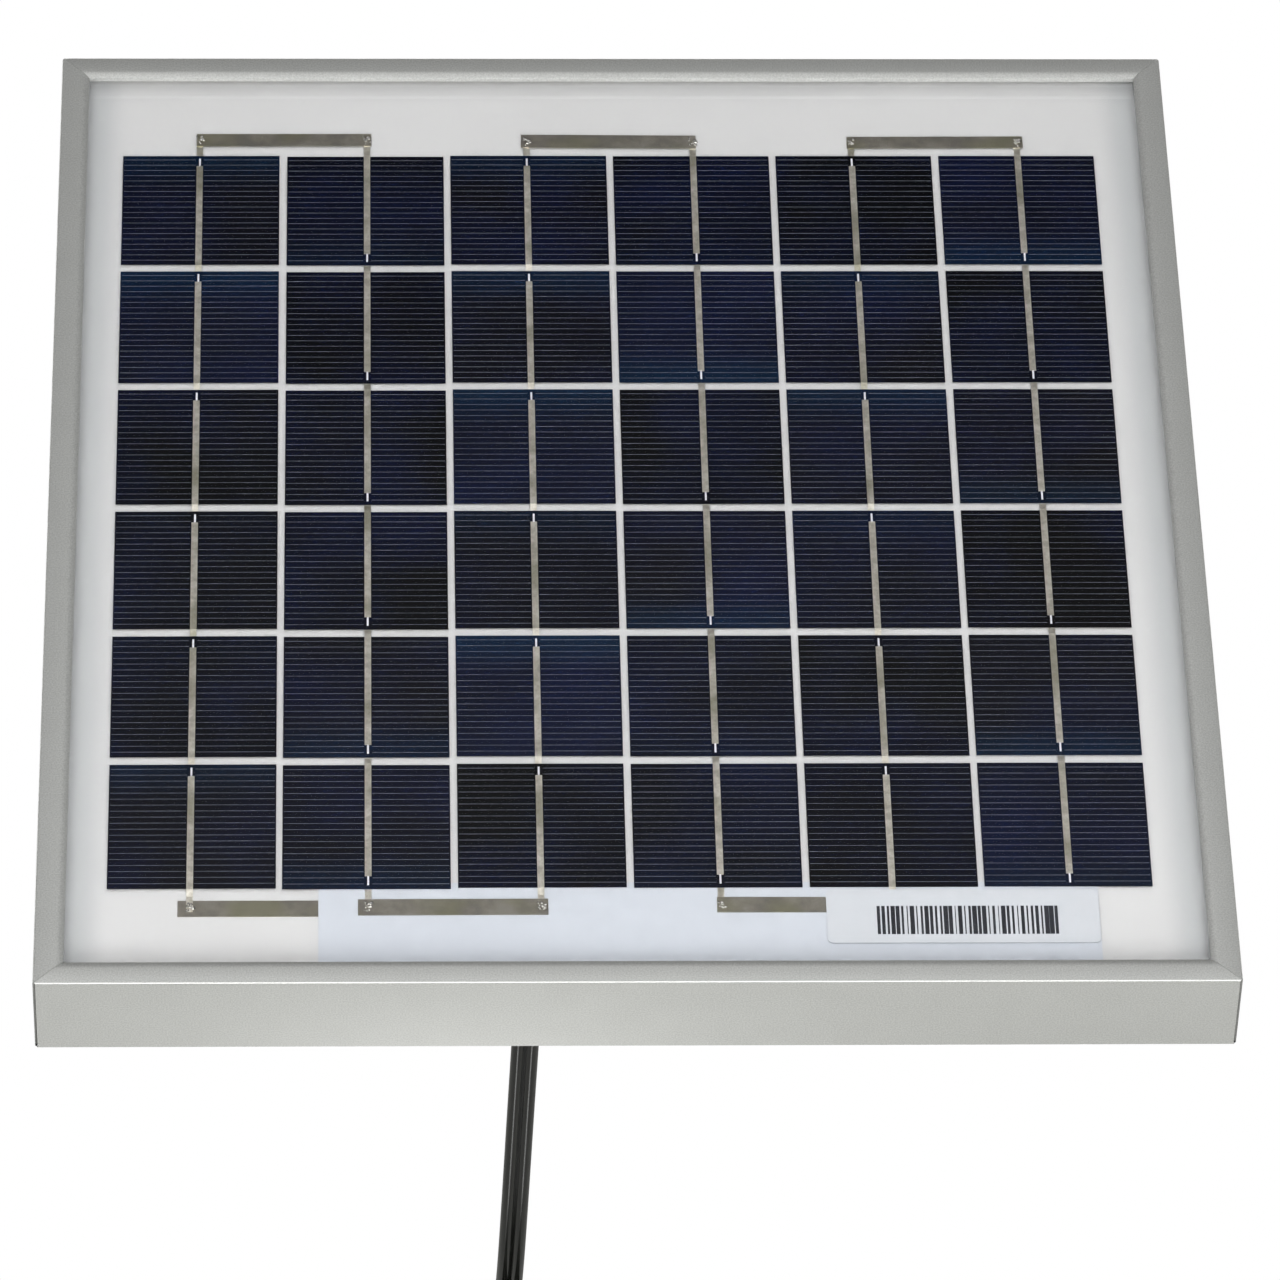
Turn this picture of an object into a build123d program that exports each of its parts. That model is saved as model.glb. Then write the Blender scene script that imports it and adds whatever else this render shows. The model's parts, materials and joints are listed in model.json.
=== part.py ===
from build123d import *
import os
from math import radians, tan

# Small framed solar panel with its junction box and lead.
# Frame of reference: the origin is the centre of the four mounting holes on the underside,
# +X runs to the right, +Y to the back and +Z up through the glass. All sizes are millimetres.

# ---- driving dimensions ----
FRAME_W, FRAME_D, FRAME_H = 222.0, 246.0, 18.0

WALL = 1.2                      # rail wall
LIP_W, LIP_FLAT = 5.5, 3.7      # lip over the glass, and the part of it that is flat
LIP_T, LIP_DROP = 1.3, 0.45     # lip thickness, and how far its nose falls away
CREASE_R = 0.35                 # radius along the outer top edge
SHELF_W, SHELF_TOP = 7.4, 10.98 # shelf that carries the laminate
CHAMBER_W = 5.2                 # hollow that takes the corner key
FLANGE_W = 16.0                 # lower flange, measured from the outer face
CORNER_CUT = 0.5                # filed corner
MITRE_GAP = 0.03                # each side of a mitre

HOLE_R, HOLE_INSET, HOLE_PITCH_Y = 2.75, 11.5, 140.0
EARTH_R, EARTH_X = 2.1, 60.0

KEY_PLAY, KEY_LEG = 0.1, 24.0

SEAL_T, LAMINATE_INSET = 0.3, 2.0
GLASS_T, EVA_FRONT_T, EVA_BACK_T, BACKSHEET_T = 3.2, 0.4, 0.35, 0.3
CELL_T, RIBBON_T, BUS_T, STRIP_T, LABEL_T = 0.2, 0.13, 0.2, 0.08, 0.08

CELL_W, CELL_D = 31.3, 30.75    # cells are cut a little wider than deep
GAP_X, GAP_Y = 1.36, 2.07
STRINGS, CELLS = 6, 6
ARRAY_X, ARRAY_Y = -0.9, 1.0    # the cell field sits slightly off centre
STRING_SHIFT = (0.0, -0.2, 0.1, 0.0, 0.05, 0.1)      # each string along Y
STRING_SLANT = (0.12, 0.0, 0.0, 0.0, 0.0, -0.08)     # degrees
RIBBON_SHIFT = (-0.3, 0.32, -0.3, 0.43, -0.33, 0.3)  # ribbon off the cell's middle
RIBBON_W, BUSBAR_BARE, BACK_BARE = 1.25, 3.0, 3.0
STUB_BEND = 2.6                 # how far inside the cell the stub that goes under the strip steps down
OUTPUT_W, OUTPUT_END = 3.8, 2.0     # output ribbon width, and how far it runs past its string
TOP_BUS_Y, LINK_Y, LEAD_Y = 102.8, -100.6, -101.0
# Cross ribbons: strings joined, middle, tilt in degrees, width, and the run past the first and last string
CROSS_RIBBONS = {
    "bus_ribbon_1_2": (1, 2, 103.1, 0.1, 3.4, 0.9, 0.9),
    "bus_ribbon_3_4": (3, 4, 102.7, -0.4, 3.6, 1.1, 0.7),
    "bus_ribbon_5_6": (5, 6, 102.5, 0.3, 3.2, 0.8, 1.4),
    "link_ribbon_2_3": (2, 3, -101.15, 0.1, 3.8, 1.9, 1.3),
    "link_ribbon_4_5": (4, 5, -100.75, -0.1, 3.6, 0.8, 1.7),
}

STRIP_X, STRIP_Y = (-58.8, 86.0), (-117.0, -95.0)
LABEL_X, LABEL_Y, LABEL_R = (35.3, 85.9), (-110.3, -97.2), 1.0

BOX_X, BOX_FRONT, BOX_W, BOX_D = -19.2, -90.0, 52.0, 44.0
BOX_WALL, BOX_TOP_T, BOX_RIM_Z, PAD_T = 1.6, 1.48, 2.2, 0.8
LID_T, GASKET_T, LID_LIP_H, LID_PLAY = 1.4, 0.35, 1.2, 0.3
HINGE_R, PIN_R, PIN_L, HINGE_BACK = 2.0, 0.8, 30.0, 2.4
KNUCKLE_HALF, KNUCKLE_PLAY = 7.8, 0.2
POST_X = 10.8                   # terminals stand this far either side of the box centre
SLIT_Y = -80.0                  # where the output ribbons drop through the back sheet

CORD_W, CORD_T = 5.2, 2.6       # twin flat lead
LEAN = 0.028                    # sideways lean of the hanging lead
LEAD_Z = 5.7                    # height of the lead's exit
BUSH_NOSE, CORE_IN = -93.5, -84.4                    # the two ends of the bush
BUSH_NECK, BUSH_COLLAR = (8.4, 4.8), (10.4, 6.2)     # wide and high, both with round ends
# Route of the hanging lead as (y, z), from the bush down into the coil
LEAD_ROUTE = (
    (-93.5, 5.7), (-97.6, 5.7), (-101.1, 2.2), (-102.4, -3.0), (-102.2, -12.0), (-101.6, -27.0),
    (-101.0, -48.0), (-100.9, -72.0), (-100.0, -94.0), (-95.0, -112.0), (-87.5, -124.0), (-85.15, -137.0),
)
COIL_Y, COIL_Z, COIL_R = -115.0, -137.0, 28.5
LANE_X, LANE_R = 2.7, 1.35      # two lanes across and two deep, this far off the coil's middle
# Tail from the coil down to the plug as (y, z)
TAIL_ROUTE = ((-85.15, -137.0), (-84.3, -146.5), (-84.9, -156.0), (-84.9, -165.0))
BOOT_L, GRIP_L, SLEEVE_R, SLEEVE_L = 9.0, 18.0, 2.75, 9.5

# terminals, screws and diode inside the box
PLATE_T, PLATE_W, PLATE_FRONT, PLATE_BACK = 1.0, 8.0, -76.0, -61.6
SCREW_Y, SCREW_R, HEAD_R, HEAD_T, WASHER_R, WASHER_T = -69.0, 1.5, 2.75, 2.0, 3.4, 0.5
WIRE_R, CORE_R, CORE_END_Y, STRAND_X = 0.4, 0.9, -76.7, 2.9
DIODE_Y, DIODE_R, DIODE_HALF = -63.5, 1.35, 2.6

# ---- heights that follow ----
GLASS_TOP = FRAME_H - LIP_T - SEAL_T
GLASS_BOTTOM = GLASS_TOP - GLASS_T
FRONT_RIBBON = GLASS_BOTTOM - EVA_FRONT_T       # top of a ribbon on a cell's face
CELL_TOP = FRONT_RIBBON - RIBBON_T
CELL_BOTTOM = CELL_TOP - CELL_T                 # also the top of a ribbon behind a cell
STRIP_TOP = CELL_BOTTOM - RIBBON_T
LEAD_LEVEL = STRIP_TOP - STRIP_T                # top of a ribbon that ends under the strip
OUTPUT_TOP = LEAD_LEVEL - RIBBON_T
EVA_BACK_TOP = OUTPUT_TOP - BUS_T
BACKSHEET_TOP = EVA_BACK_TOP - EVA_BACK_T
BACKSHEET_BOTTOM = BACKSHEET_TOP - BACKSHEET_T
BOX_TOP = BACKSHEET_BOTTOM - PAD_T
BOX_CEILING = BOX_TOP - BOX_TOP_T
BOX_BACK = BOX_FRONT + BOX_D
LID_TOP = BOX_RIM_Z - GASKET_T - 0.05
LID_BOTTOM = LID_TOP - LID_T
HINGE_Y, HINGE_Z = BOX_BACK + HINGE_BACK, LID_BOTTOM + HINGE_R
PLATE_BOTTOM = BOX_CEILING - PLATE_T
WIRE_Z = PLATE_BOTTOM - WIRE_R
WASHER_TOP = WIRE_Z - WIRE_R

PITCH_X, PITCH_Y = CELL_W + GAP_X, CELL_D + GAP_Y
COIL_X = BOX_X + LEAN * (COIL_Z - LEAD_Z) + LANE_X

parts = {}


def block(x0, x1, y0, y1, z0, z1):
    """A box between two corners."""
    return Pos((x0 + x1) / 2, (y0 + y1) / 2, (z0 + z1) / 2) * Box(x1 - x0, y1 - y0, z1 - z0)


def rod(x, y, z0, z1, r):
    """An upright cylinder."""
    return Pos(x, y, (z0 + z1) / 2) * Cylinder(r, z1 - z0)


def rod_x(x0, x1, y, z, r):
    """A cylinder along X."""
    return Pos((x0 + x1) / 2, y, z) * Rot(0, 90, 0) * Cylinder(r, x1 - x0)


def rod_y(x, y0, y1, z, r):
    """A cylinder along Y."""
    return Pos(x, (y0 + y1) / 2, z) * Rot(90, 0, 0) * Cylinder(r, y1 - y0)


# ---- frame ----
def rail_section():
    """The rail's section, u inwards from the outer face and v up, as a face on the YZ plane."""
    top, lip_under = FRAME_H, FRAME_H - LIP_T
    with BuildSketch(Plane.YZ) as sketch:
        with BuildLine():
            Line((CREASE_R, top), (LIP_FLAT, top))
            TangentArc((LIP_FLAT, top), (LIP_W, top - LIP_DROP), tangent=(1, 0))
            Polyline(
                (LIP_W, top - LIP_DROP), (LIP_W, lip_under), (WALL, lip_under), (WALL, SHELF_TOP),
                (SHELF_W, SHELF_TOP), (SHELF_W, WALL), (FLANGE_W, WALL), (FLANGE_W, 0), (0, 0),
                (0, top - CREASE_R),
            )
            TangentArc((0, top - CREASE_R), (CREASE_R, top), tangent=(0, 1))
        make_face()
        with Locations((WALL + CHAMBER_W / 2, SHELF_TOP / 2)):
            Rectangle(CHAMBER_W, SHELF_TOP - 2 * WALL, mode=Mode.SUBTRACT)
    return sketch.sketch


def rail(length):
    """A rail along X with its outer face on y = 0, mitred at both ends."""
    half, deep = length / 2, FLANGE_W + 1
    blank = extrude(rail_section(), half, both=True)
    cut = CORNER_CUT
    mitre = Polyline(
        (cut - half, 0), (half - cut, 0), (half - cut / 2 - MITRE_GAP, cut / 2),
        (half - deep - MITRE_GAP, deep), (deep + MITRE_GAP - half, deep),
        (cut / 2 + MITRE_GAP - half, cut / 2), close=True,
    )
    return blank & extrude(make_face(mitre), FRAME_H)


def make_frame():
    long_rail, short_rail = rail(FRAME_D), rail(FRAME_W)
    for y in (-HOLE_PITCH_Y / 2, HOLE_PITCH_Y / 2):
        long_rail -= rod(y, HOLE_INSET, -1, WALL + 1, HOLE_R)
    earthed = short_rail - rod(-EARTH_X, HOLE_INSET, -1, WALL + 1, EARTH_R)
    parts["frame_rail_front"] = Pos(0, -FRAME_D / 2, 0) * short_rail
    parts["frame_rail_back"] = Pos(0, FRAME_D / 2, 0) * Rot(0, 0, 180) * earthed
    parts["frame_rail_left"] = Pos(-FRAME_W / 2, 0, 0) * Rot(0, 0, -90) * long_rail
    parts["frame_rail_right"] = Pos(FRAME_W / 2, 0, 0) * Rot(0, 0, 90) * long_rail


def make_corner_keys():
    near, far = WALL + KEY_PLAY, WALL + CHAMBER_W - KEY_PLAY
    low, high = WALL + KEY_PLAY, SHELF_TOP - WALL - KEY_PLAY
    key = block(near, KEY_LEG, near, far, low, high) + block(near, far, near, KEY_LEG, low, high)
    places = {
        "front_left": (-FRAME_W / 2, -FRAME_D / 2, 0), "front_right": (FRAME_W / 2, -FRAME_D / 2, 90),
        "back_right": (FRAME_W / 2, FRAME_D / 2, 180), "back_left": (-FRAME_W / 2, FRAME_D / 2, 270),
    }
    for name, (x, y, turn) in places.items():
        parts["corner_key_" + name] = Pos(x, y, 0) * Rot(0, 0, turn) * key


# ---- laminate ----
def sheet(bottom, top):
    w, d = FRAME_W / 2 - LAMINATE_INSET, FRAME_D / 2 - LAMINATE_INSET
    return block(-w, w, -d, d, bottom, top)


def slits(bottom, top):
    """The two slots that the output ribbons drop through."""
    half_w = OUTPUT_W / 2 + 0.6
    return [
        block(x - half_w, x + half_w, SLIT_Y - 0.8, SLIT_Y + 0.8, bottom, top)
        for x in (BOX_X - POST_X, BOX_X + POST_X)
    ]


def make_laminate():
    parts["glass"] = sheet(GLASS_BOTTOM, GLASS_TOP)
    parts["eva_front"] = sheet(FRONT_RIBBON, GLASS_BOTTOM)
    parts["eva_back"] = sheet(BACKSHEET_TOP, EVA_BACK_TOP) - slits(BACKSHEET_TOP, EVA_BACK_TOP)
    parts["backsheet"] = sheet(BACKSHEET_BOTTOM, BACKSHEET_TOP) - slits(BACKSHEET_BOTTOM, BACKSHEET_TOP)
    x, y = FRAME_W / 2, FRAME_D / 2
    bead = block(WALL - x, x - WALL, WALL - y, y - WALL, SHELF_TOP, FRAME_H - LIP_T)
    bead -= sheet(BACKSHEET_BOTTOM, GLASS_TOP)
    inner = LIP_W - 0.5
    bead -= block(inner - x, x - inner, inner - y, y - inner, GLASS_TOP - 1, FRAME_H)
    inner = SHELF_W - 0.5
    bead -= block(inner - x, x - inner, inner - y, y - inner, 0, BACKSHEET_BOTTOM + 1)
    parts["edge_seal"] = bead


def ribbon(points):
    """A ribbon whose side view is the given band of (y, z) points, centred on x = 0."""
    side = make_face(Polyline(*[(0, y, z) for y, z in points], close=True))
    return extrude(side, RIBBON_W / 2, both=True)


def step_ribbon(start, bend, end, level):
    """A ribbon from a cell's face at y = start, down across the gap at bend, to end at level."""
    upper, drop = FRONT_RIBBON, level - RIBBON_T
    near, far = bend - 0.3, bend - GAP_Y + 0.3
    return ribbon([
        (start, CELL_TOP), (start, upper), (near, upper), (far, level), (end, level),
        (end, drop), (far, drop), (near, CELL_TOP),
    ])


def back_ribbon(start, bend, end, level):
    """A ribbon soldered behind a cell that steps from there to another level at bend."""
    if level == CELL_BOTTOM:
        return ribbon([(start, STRIP_TOP), (start, CELL_BOTTOM), (end, CELL_BOTTOM), (end, STRIP_TOP)])
    return ribbon([
        (start, STRIP_TOP), (start, CELL_BOTTOM), (bend, CELL_BOTTOM), (bend - 1.0, level), (end, level),
        (end, level - RIBBON_T), (bend - 1.0, level - RIBBON_T), (bend, STRIP_TOP),
    ])


def string_ribbons(face_end, face_level, back_end, back_level):
    """Ribbons of one string, current running from its back-contact end at +Y to its face end at -Y."""
    tops = [PITCH_Y * (CELLS / 2 - i) - GAP_Y / 2 for i in range(CELLS)]
    bottoms = [top - CELL_D for top in tops]
    links = [
        step_ribbon(tops[i] - BUSBAR_BARE, bottoms[i], bottoms[i + 1] + BACK_BARE, CELL_BOTTOM)
        for i in range(CELLS - 1)
    ]
    links.append(step_ribbon(tops[-1] - BUSBAR_BARE, bottoms[-1], face_end, face_level))
    # the first cell's back contact, made pointing to -Y and turned round
    stub = back_ribbon(-bottoms[0] - BACK_BARE, -tops[0] + STUB_BEND, -back_end, back_level)
    links.append(Rot(0, 0, 180) * stub)
    return links


def make_strings():
    for n in range(STRINGS):
        x = ARRAY_X + (n - (STRINGS - 1) / 2) * PITCH_X
        y = ARRAY_Y + STRING_SHIFT[n]
        place = Pos(x, y, 0) * Rot(0, 0, STRING_SLANT[n])
        cell = Box(CELL_W, CELL_D, CELL_T)
        rows = [(i - (CELLS - 1) / 2) * PITCH_Y for i in range(CELLS)]
        cells = [place * Pos(0, row, CELL_BOTTOM + CELL_T / 2) * cell for row in rows]
        faces_front = n % 2 == 0
        top_end, low_end = TOP_BUS_Y - y + 1.2, LINK_Y - y - 1.2
        low_level = LEAD_LEVEL if n in (0, STRINGS - 1) else CELL_BOTTOM
        if faces_front:
            links = string_ribbons(low_end, low_level, top_end, CELL_BOTTOM)
            turned = Pos(RIBBON_SHIFT[n], 0, 0)
        else:
            links = string_ribbons(-top_end, CELL_BOTTOM, -low_end, low_level)
            turned = Pos(RIBBON_SHIFT[n], 0, 0) * Rot(0, 0, 180)
        parts[f"string_{n + 1}_cells"] = Compound(cells)
        parts[f"string_{n + 1}_ribbons"] = Compound([place * turned * link for link in links])


def string_x(n):
    """Where string n's ribbon stands, n counted from 1."""
    return ARRAY_X + (n - 1 - (STRINGS - 1) / 2) * PITCH_X + RIBBON_SHIFT[n - 1]


def make_cross_ribbons():
    low, high = CELL_BOTTOM, CELL_BOTTOM + BUS_T
    for name, (a, b, y, tilt, width, before, after) in CROSS_RIBBONS.items():
        x0, x1 = string_x(a) - before, string_x(b) + after
        place = Pos((x0 + x1) / 2, y, (low + high) / 2) * Rot(0, 0, tilt)
        parts[name] = place * Box(x1 - x0, width, BUS_T)


def output_ribbon(start_x, post_x):
    """Output ribbon: along the bottom, back under the cells, down the slit, and on to its terminal."""
    top, low, w = OUTPUT_TOP, OUTPUT_TOP - BUS_T, OUTPUT_W / 2
    x0, x1 = min(start_x, post_x - w), max(start_x, post_x + w)
    run = block(x0, x1, LEAD_Y - w, LEAD_Y + w, low, top)
    run += block(post_x - w, post_x + w, LEAD_Y - w, SLIT_Y + BUS_T / 2, low, top)
    foot = BOX_CEILING - 1.0
    run += block(post_x - w, post_x + w, SLIT_Y - BUS_T / 2, SLIT_Y + BUS_T / 2, foot - BUS_T, top)
    return run + block(post_x - w, post_x + w, SLIT_Y - BUS_T / 2, SLIT_Y + 7.4, foot - BUS_T, foot)


def make_output():
    parts["output_ribbon_negative"] = output_ribbon(string_x(1) - OUTPUT_END, BOX_X - POST_X)
    parts["output_ribbon_positive"] = output_ribbon(string_x(STRINGS) + OUTPUT_END, BOX_X + POST_X)
    parts["insulation_strip"] = block(*STRIP_X, *STRIP_Y, LEAD_LEVEL, STRIP_TOP)
    (x0, x1), (y0, y1), z = LABEL_X, LABEL_Y, CELL_BOTTOM + BUS_T
    label = block(x0, x1, y0, y1, z, z + LABEL_T)
    parts["bar_label"] = fillet(label.edges().filter_by(Axis.Z), LABEL_R)


# ---- junction box ----
def tray(inset, low, high):
    """A block of the junction box's outline, drawn in by inset."""
    x0, x1 = BOX_X - BOX_W / 2 + inset, BOX_X + BOX_W / 2 - inset
    solid = block(x0, x1, BOX_FRONT + inset, BOX_BACK - inset, low, high)
    radius = max(3.0 - inset, 0.6)
    return fillet(solid.edges().filter_by(Axis.Z), radius)


def knuckle(x0, x1):
    return rod_x(x0, x1, HINGE_Y, HINGE_Z, HINGE_R)


def pin_bore(x0, x1):
    return rod_x(x0, x1, HINGE_Y, HINGE_Z, PIN_R + 0.05)


def make_junction_box():
    half = POST_X + 3.2
    window = block(BOX_X - half, BOX_X + half, SLIT_Y - 2.0, SLIT_Y + 2.0, BOX_CEILING - 1, BOX_TOP + 2)
    parts["box_adhesive_pad"] = tray(2.0, BOX_TOP, BACKSHEET_BOTTOM) - window
    base = tray(0, BOX_RIM_Z, BOX_TOP) - tray(BOX_WALL, BOX_RIM_Z - 1, BOX_CEILING) - window
    outer, inner = PIN_L / 2, KNUCKLE_HALF + KNUCKLE_PLAY
    for x0, x1 in ((BOX_X - outer, BOX_X - inner), (BOX_X + inner, BOX_X + outer)):
        web = block(x0, x1, BOX_BACK - 0.5, HINGE_Y, HINGE_Z, HINGE_Z + HINGE_R)
        base = base + web + knuckle(x0, x1) - pin_bore(x0 - 1, x1 + 1)
    base -= rounded_block(BUSH_NECK, BOX_FRONT - 1, BOX_FRONT + BOX_WALL + 1)
    for x in (BOX_X - POST_X, BOX_X + POST_X):
        base -= rod(x, SCREW_Y, BOX_CEILING - 1, BOX_CEILING + 1.0, SCREW_R + 0.05)
    parts["junction_box_base"] = base

    lid = tray(0, LID_BOTTOM, LID_TOP)
    lip_top = LID_TOP + GASKET_T + LID_LIP_H
    inset = BOX_WALL + LID_PLAY
    lip = tray(inset, LID_BOTTOM + 0.2, lip_top) - tray(inset + 1.0, LID_TOP, lip_top + 1)
    lid += lip - block(BOX_X - 6.5, BOX_X + 6.5, BOX_FRONT, BOX_FRONT + 6, LID_TOP, lip_top + 1)
    lid += block(BOX_X - 6, BOX_X + 6, BOX_FRONT - 2.2, BOX_FRONT + 1, LID_BOTTOM, LID_BOTTOM + 1.0)
    lid += block(BOX_X - KNUCKLE_HALF, BOX_X + KNUCKLE_HALF, BOX_BACK - 0.5, HINGE_Y, LID_BOTTOM, LID_TOP)
    lid = lid + knuckle(BOX_X - KNUCKLE_HALF, BOX_X + KNUCKLE_HALF) - pin_bore(BOX_X - outer, BOX_X + outer)
    parts["junction_box_lid"] = lid
    parts["lid_gasket"] = tray(0.2, LID_TOP, LID_TOP + GASKET_T) - tray(BOX_WALL, LID_TOP - 1, BOX_RIM_Z)
    parts["hinge_pin"] = rod_x(BOX_X - outer, BOX_X + outer, HINGE_Y, HINGE_Z, PIN_R)


def make_terminals():
    """Terminal plates, their screws and washers, the diode and the ends of the lead."""
    screws, washers, wires, strands = [], [], [], []
    washer_low = WASHER_TOP - WASHER_T
    for side, name in ((-1, "negative"), (1, "positive")):
        x = BOX_X + side * POST_X
        clear = rod(x, SCREW_Y, 0, BOX_TOP, SCREW_R + 0.05)
        half = PLATE_W / 2
        plate = block(x - half, x + half, PLATE_FRONT, PLATE_BACK, PLATE_BOTTOM, BOX_CEILING)
        parts["terminal_plate_" + name] = plate - clear
        head = rod(x, SCREW_Y, washer_low - HEAD_T, washer_low, HEAD_R)
        slot_top = washer_low - HEAD_T + 0.7
        slot = block(x - 3, x + 3, SCREW_Y - 0.3, SCREW_Y + 0.3, slot_top - 1, slot_top)
        screws.append(rod(x, SCREW_Y, washer_low, BOX_CEILING + 0.9, SCREW_R) + head - slot)
        washers.append(rod(x, SCREW_Y, washer_low, WASHER_TOP, WASHER_R) - clear)
        wires.append(rod_x(*sorted((BOX_X + side * DIODE_HALF, x - side)), DIODE_Y, WIRE_Z, WIRE_R))
        strand_x = x + side * STRAND_X
        strands.append(rod_y(strand_x, CORE_END_Y, SCREW_Y + 2.0, WIRE_Z, WIRE_R))
        parts["lead_core_" + name] = core(side, strand_x)
    parts["terminal_screws"] = Compound(screws)
    parts["terminal_washers"] = Compound(washers)
    parts["diode_leads"] = Compound(wires)
    parts["diode_body"] = rod_x(BOX_X - DIODE_HALF, BOX_X + DIODE_HALF, DIODE_Y, WIRE_Z, DIODE_R)
    parts["stripped_ends"] = Compound(strands)


def core(side, end_x):
    """One insulated core of the lead, from the bush to its terminal."""
    x = BOX_X + side * CORD_W / 4
    route = [
        Vector(x, CORE_IN, LEAD_Z), Vector(x, CORE_IN + 2.0, LEAD_Z),
        Vector(end_x, CORE_END_Y - 2.9, LEAD_Z + 0.3), Vector(end_x, CORE_END_Y, WIRE_Z),
    ]
    return tube(route, Plane(route[0], z_dir=(0, 1, 0)), Circle(CORE_R))


def rounded_block(size, y0, y1):
    """A block across the box wall whose ends, seen along Y, are round."""
    wide, high = size
    solid = Pos(BOX_X, (y0 + y1) / 2, LEAD_Z) * Box(wide, y1 - y0, high)
    return fillet(solid.edges().filter_by(Axis.Y), high / 2 - 0.1)


def make_bush():
    """The rubber bush that grips the lead in the box wall."""
    nose_plane = Plane(origin=(BOX_X, BUSH_NOSE, LEAD_Z), x_dir=(1, 0, 0), z_dir=(0, 1, 0))
    nose = extrude(nose_plane * SlotOverall(CORD_W + 1.6, CORD_T + 1.6), amount=BOX_FRONT - BUSH_NOSE)
    inside = BOX_FRONT + BOX_WALL
    parts["lead_bush"] = (
        nose + rounded_block(BUSH_COLLAR, BOX_FRONT - 0.9, BOX_FRONT)
        + rounded_block(BUSH_NECK, BOX_FRONT, inside) + rounded_block(BUSH_COLLAR, inside, CORE_IN)
    )


# ---- lead ----
def arc_radii(points):
    """For each inner point, 0.45 of the shorter run over the tangent of half the turn."""
    radii = []
    for before, here, after in zip(points, points[1:], points[2:]):
        turn = (here - before).get_angle(after - here)
        run = min((here - before).length, (after - here).length)
        radii.append(0.45 * run / tan(radians(turn / 2)))
    return radii


def tube(points, start, section):
    """A section swept along straight runs joined by tangent arcs."""
    path = FilletPolyline(*points, radius=arc_radii(points))
    return sweep(start * section, path=Wire(path.edges()))


def lead_point(y, z):
    """A point of the lead's leaning plane."""
    return Vector(BOX_X + LEAN * (z - LEAD_Z), y, z)


def flat_tube(name, points):
    """A stretch of the flat lead, its wide side across the panel, kept plain."""
    first = Plane(points[0], x_dir=(1, 0, 0), z_dir=points[1] - points[0])
    solid = tube(points, first, SlotOverall(CORD_W, CORD_T))
    path = FilletPolyline(*points, radius=arc_radii(points))
    section = SlotOverall(CORD_W, CORD_T).area
    print(name, "radii", [round(r, 1) for r in arc_radii(points)])
    ratio = solid.volume / (section * path.length)
    print(name, "length", round(path.length, 1), "volume ratio", round(ratio, 3))
    parts[name] = solid


def make_lead():
    flat_tube("lead_tube", [lead_point(y, z) for y, z in LEAD_ROUTE])
    tail_x = COIL_X + LANE_X
    flat_tube("lead_tail", [Vector(tail_x, y, z) for y, z in TAIL_ROUTE])

    half_w, half_t = LANE_X + CORD_W / 2 + 0.1, LANE_R + CORD_T / 2 + 0.1
    centre = Plane(origin=(COIL_X - half_w, COIL_Y, COIL_Z), x_dir=(0, 1, 0), z_dir=(1, 0, 0))
    ring = extrude(centre * (Circle(COIL_R + half_t) - Circle(COIL_R - half_t)), amount=2 * half_w)
    parts["lead_coil"] = fillet(ring.edges(), 1.2)

    back_y = COIL_Y + COIL_R
    low, high, wrap = COIL_Z - 2.5, COIL_Z + 2.5, 0.9
    wide, deep = half_w + wrap, half_t + wrap
    band = block(COIL_X - wide, COIL_X + wide, back_y - deep, back_y + deep, low, high)
    band = fillet(band.edges().filter_by(Axis.Z), 1.2)
    near, far = back_y - half_t - 0.1, back_y + half_t
    hollow = block(COIL_X - half_w, COIL_X + half_w, near, far, low - 1, high + 1)
    parts["lead_tie"] = band - hollow


def make_plug():
    """Barrel plug that hangs at the end of the tail."""
    y, z = TAIL_ROUTE[-1]
    axis = Plane(origin=(COIL_X + LANE_X, y, z), x_dir=(1, 0, 0), z_dir=(0, 0, -1))
    boot = loft([axis * Circle(3.4), axis.offset(BOOT_L) * Circle(4.4)])
    grip = extrude(axis.offset(BOOT_L) * Circle(5.0), amount=GRIP_L)
    parts["plug_body"] = boot + chamfer(grip.edges().filter_by(GeomType.CIRCLE), 0.6)
    face = axis.offset(BOOT_L + GRIP_L)
    bore, contact = SLEEVE_R - 0.55, 1.05
    parts["plug_sleeve"] = extrude(face * (Circle(SLEEVE_R) - Circle(bore)), amount=SLEEVE_L)
    parts["plug_insulator"] = extrude(face * (Circle(bore) - Circle(contact)), amount=SLEEVE_L - 0.5)
    print("plug axis x, y", round(COIL_X + LANE_X, 3), y, "face z", z - BOOT_L - GRIP_L)


def main():
    make_frame()
    make_corner_keys()
    make_laminate()
    make_strings()
    make_cross_ribbons()
    make_output()
    make_junction_box()
    make_terminals()
    make_bush()
    make_lead()
    make_plug()
    os.makedirs("parts", exist_ok=True)
    for name, solid in parts.items():
        export_step(solid, f"parts/{name}.step")
    print(len(parts), "nodes; hinge axis at", round(HINGE_Y, 3), round(HINGE_Z, 3))


main()
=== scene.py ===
"""Looks of a small framed solar panel with its junction box and lead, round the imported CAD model.

Lengths that come from the drawing are written in millimetres and turned to metres by mm().
+X is right, +Y is the back edge, +Z is up through the glass.
"""
import json
import math

import bmesh
import bpy
from mathutils import Matrix, Vector


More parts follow.
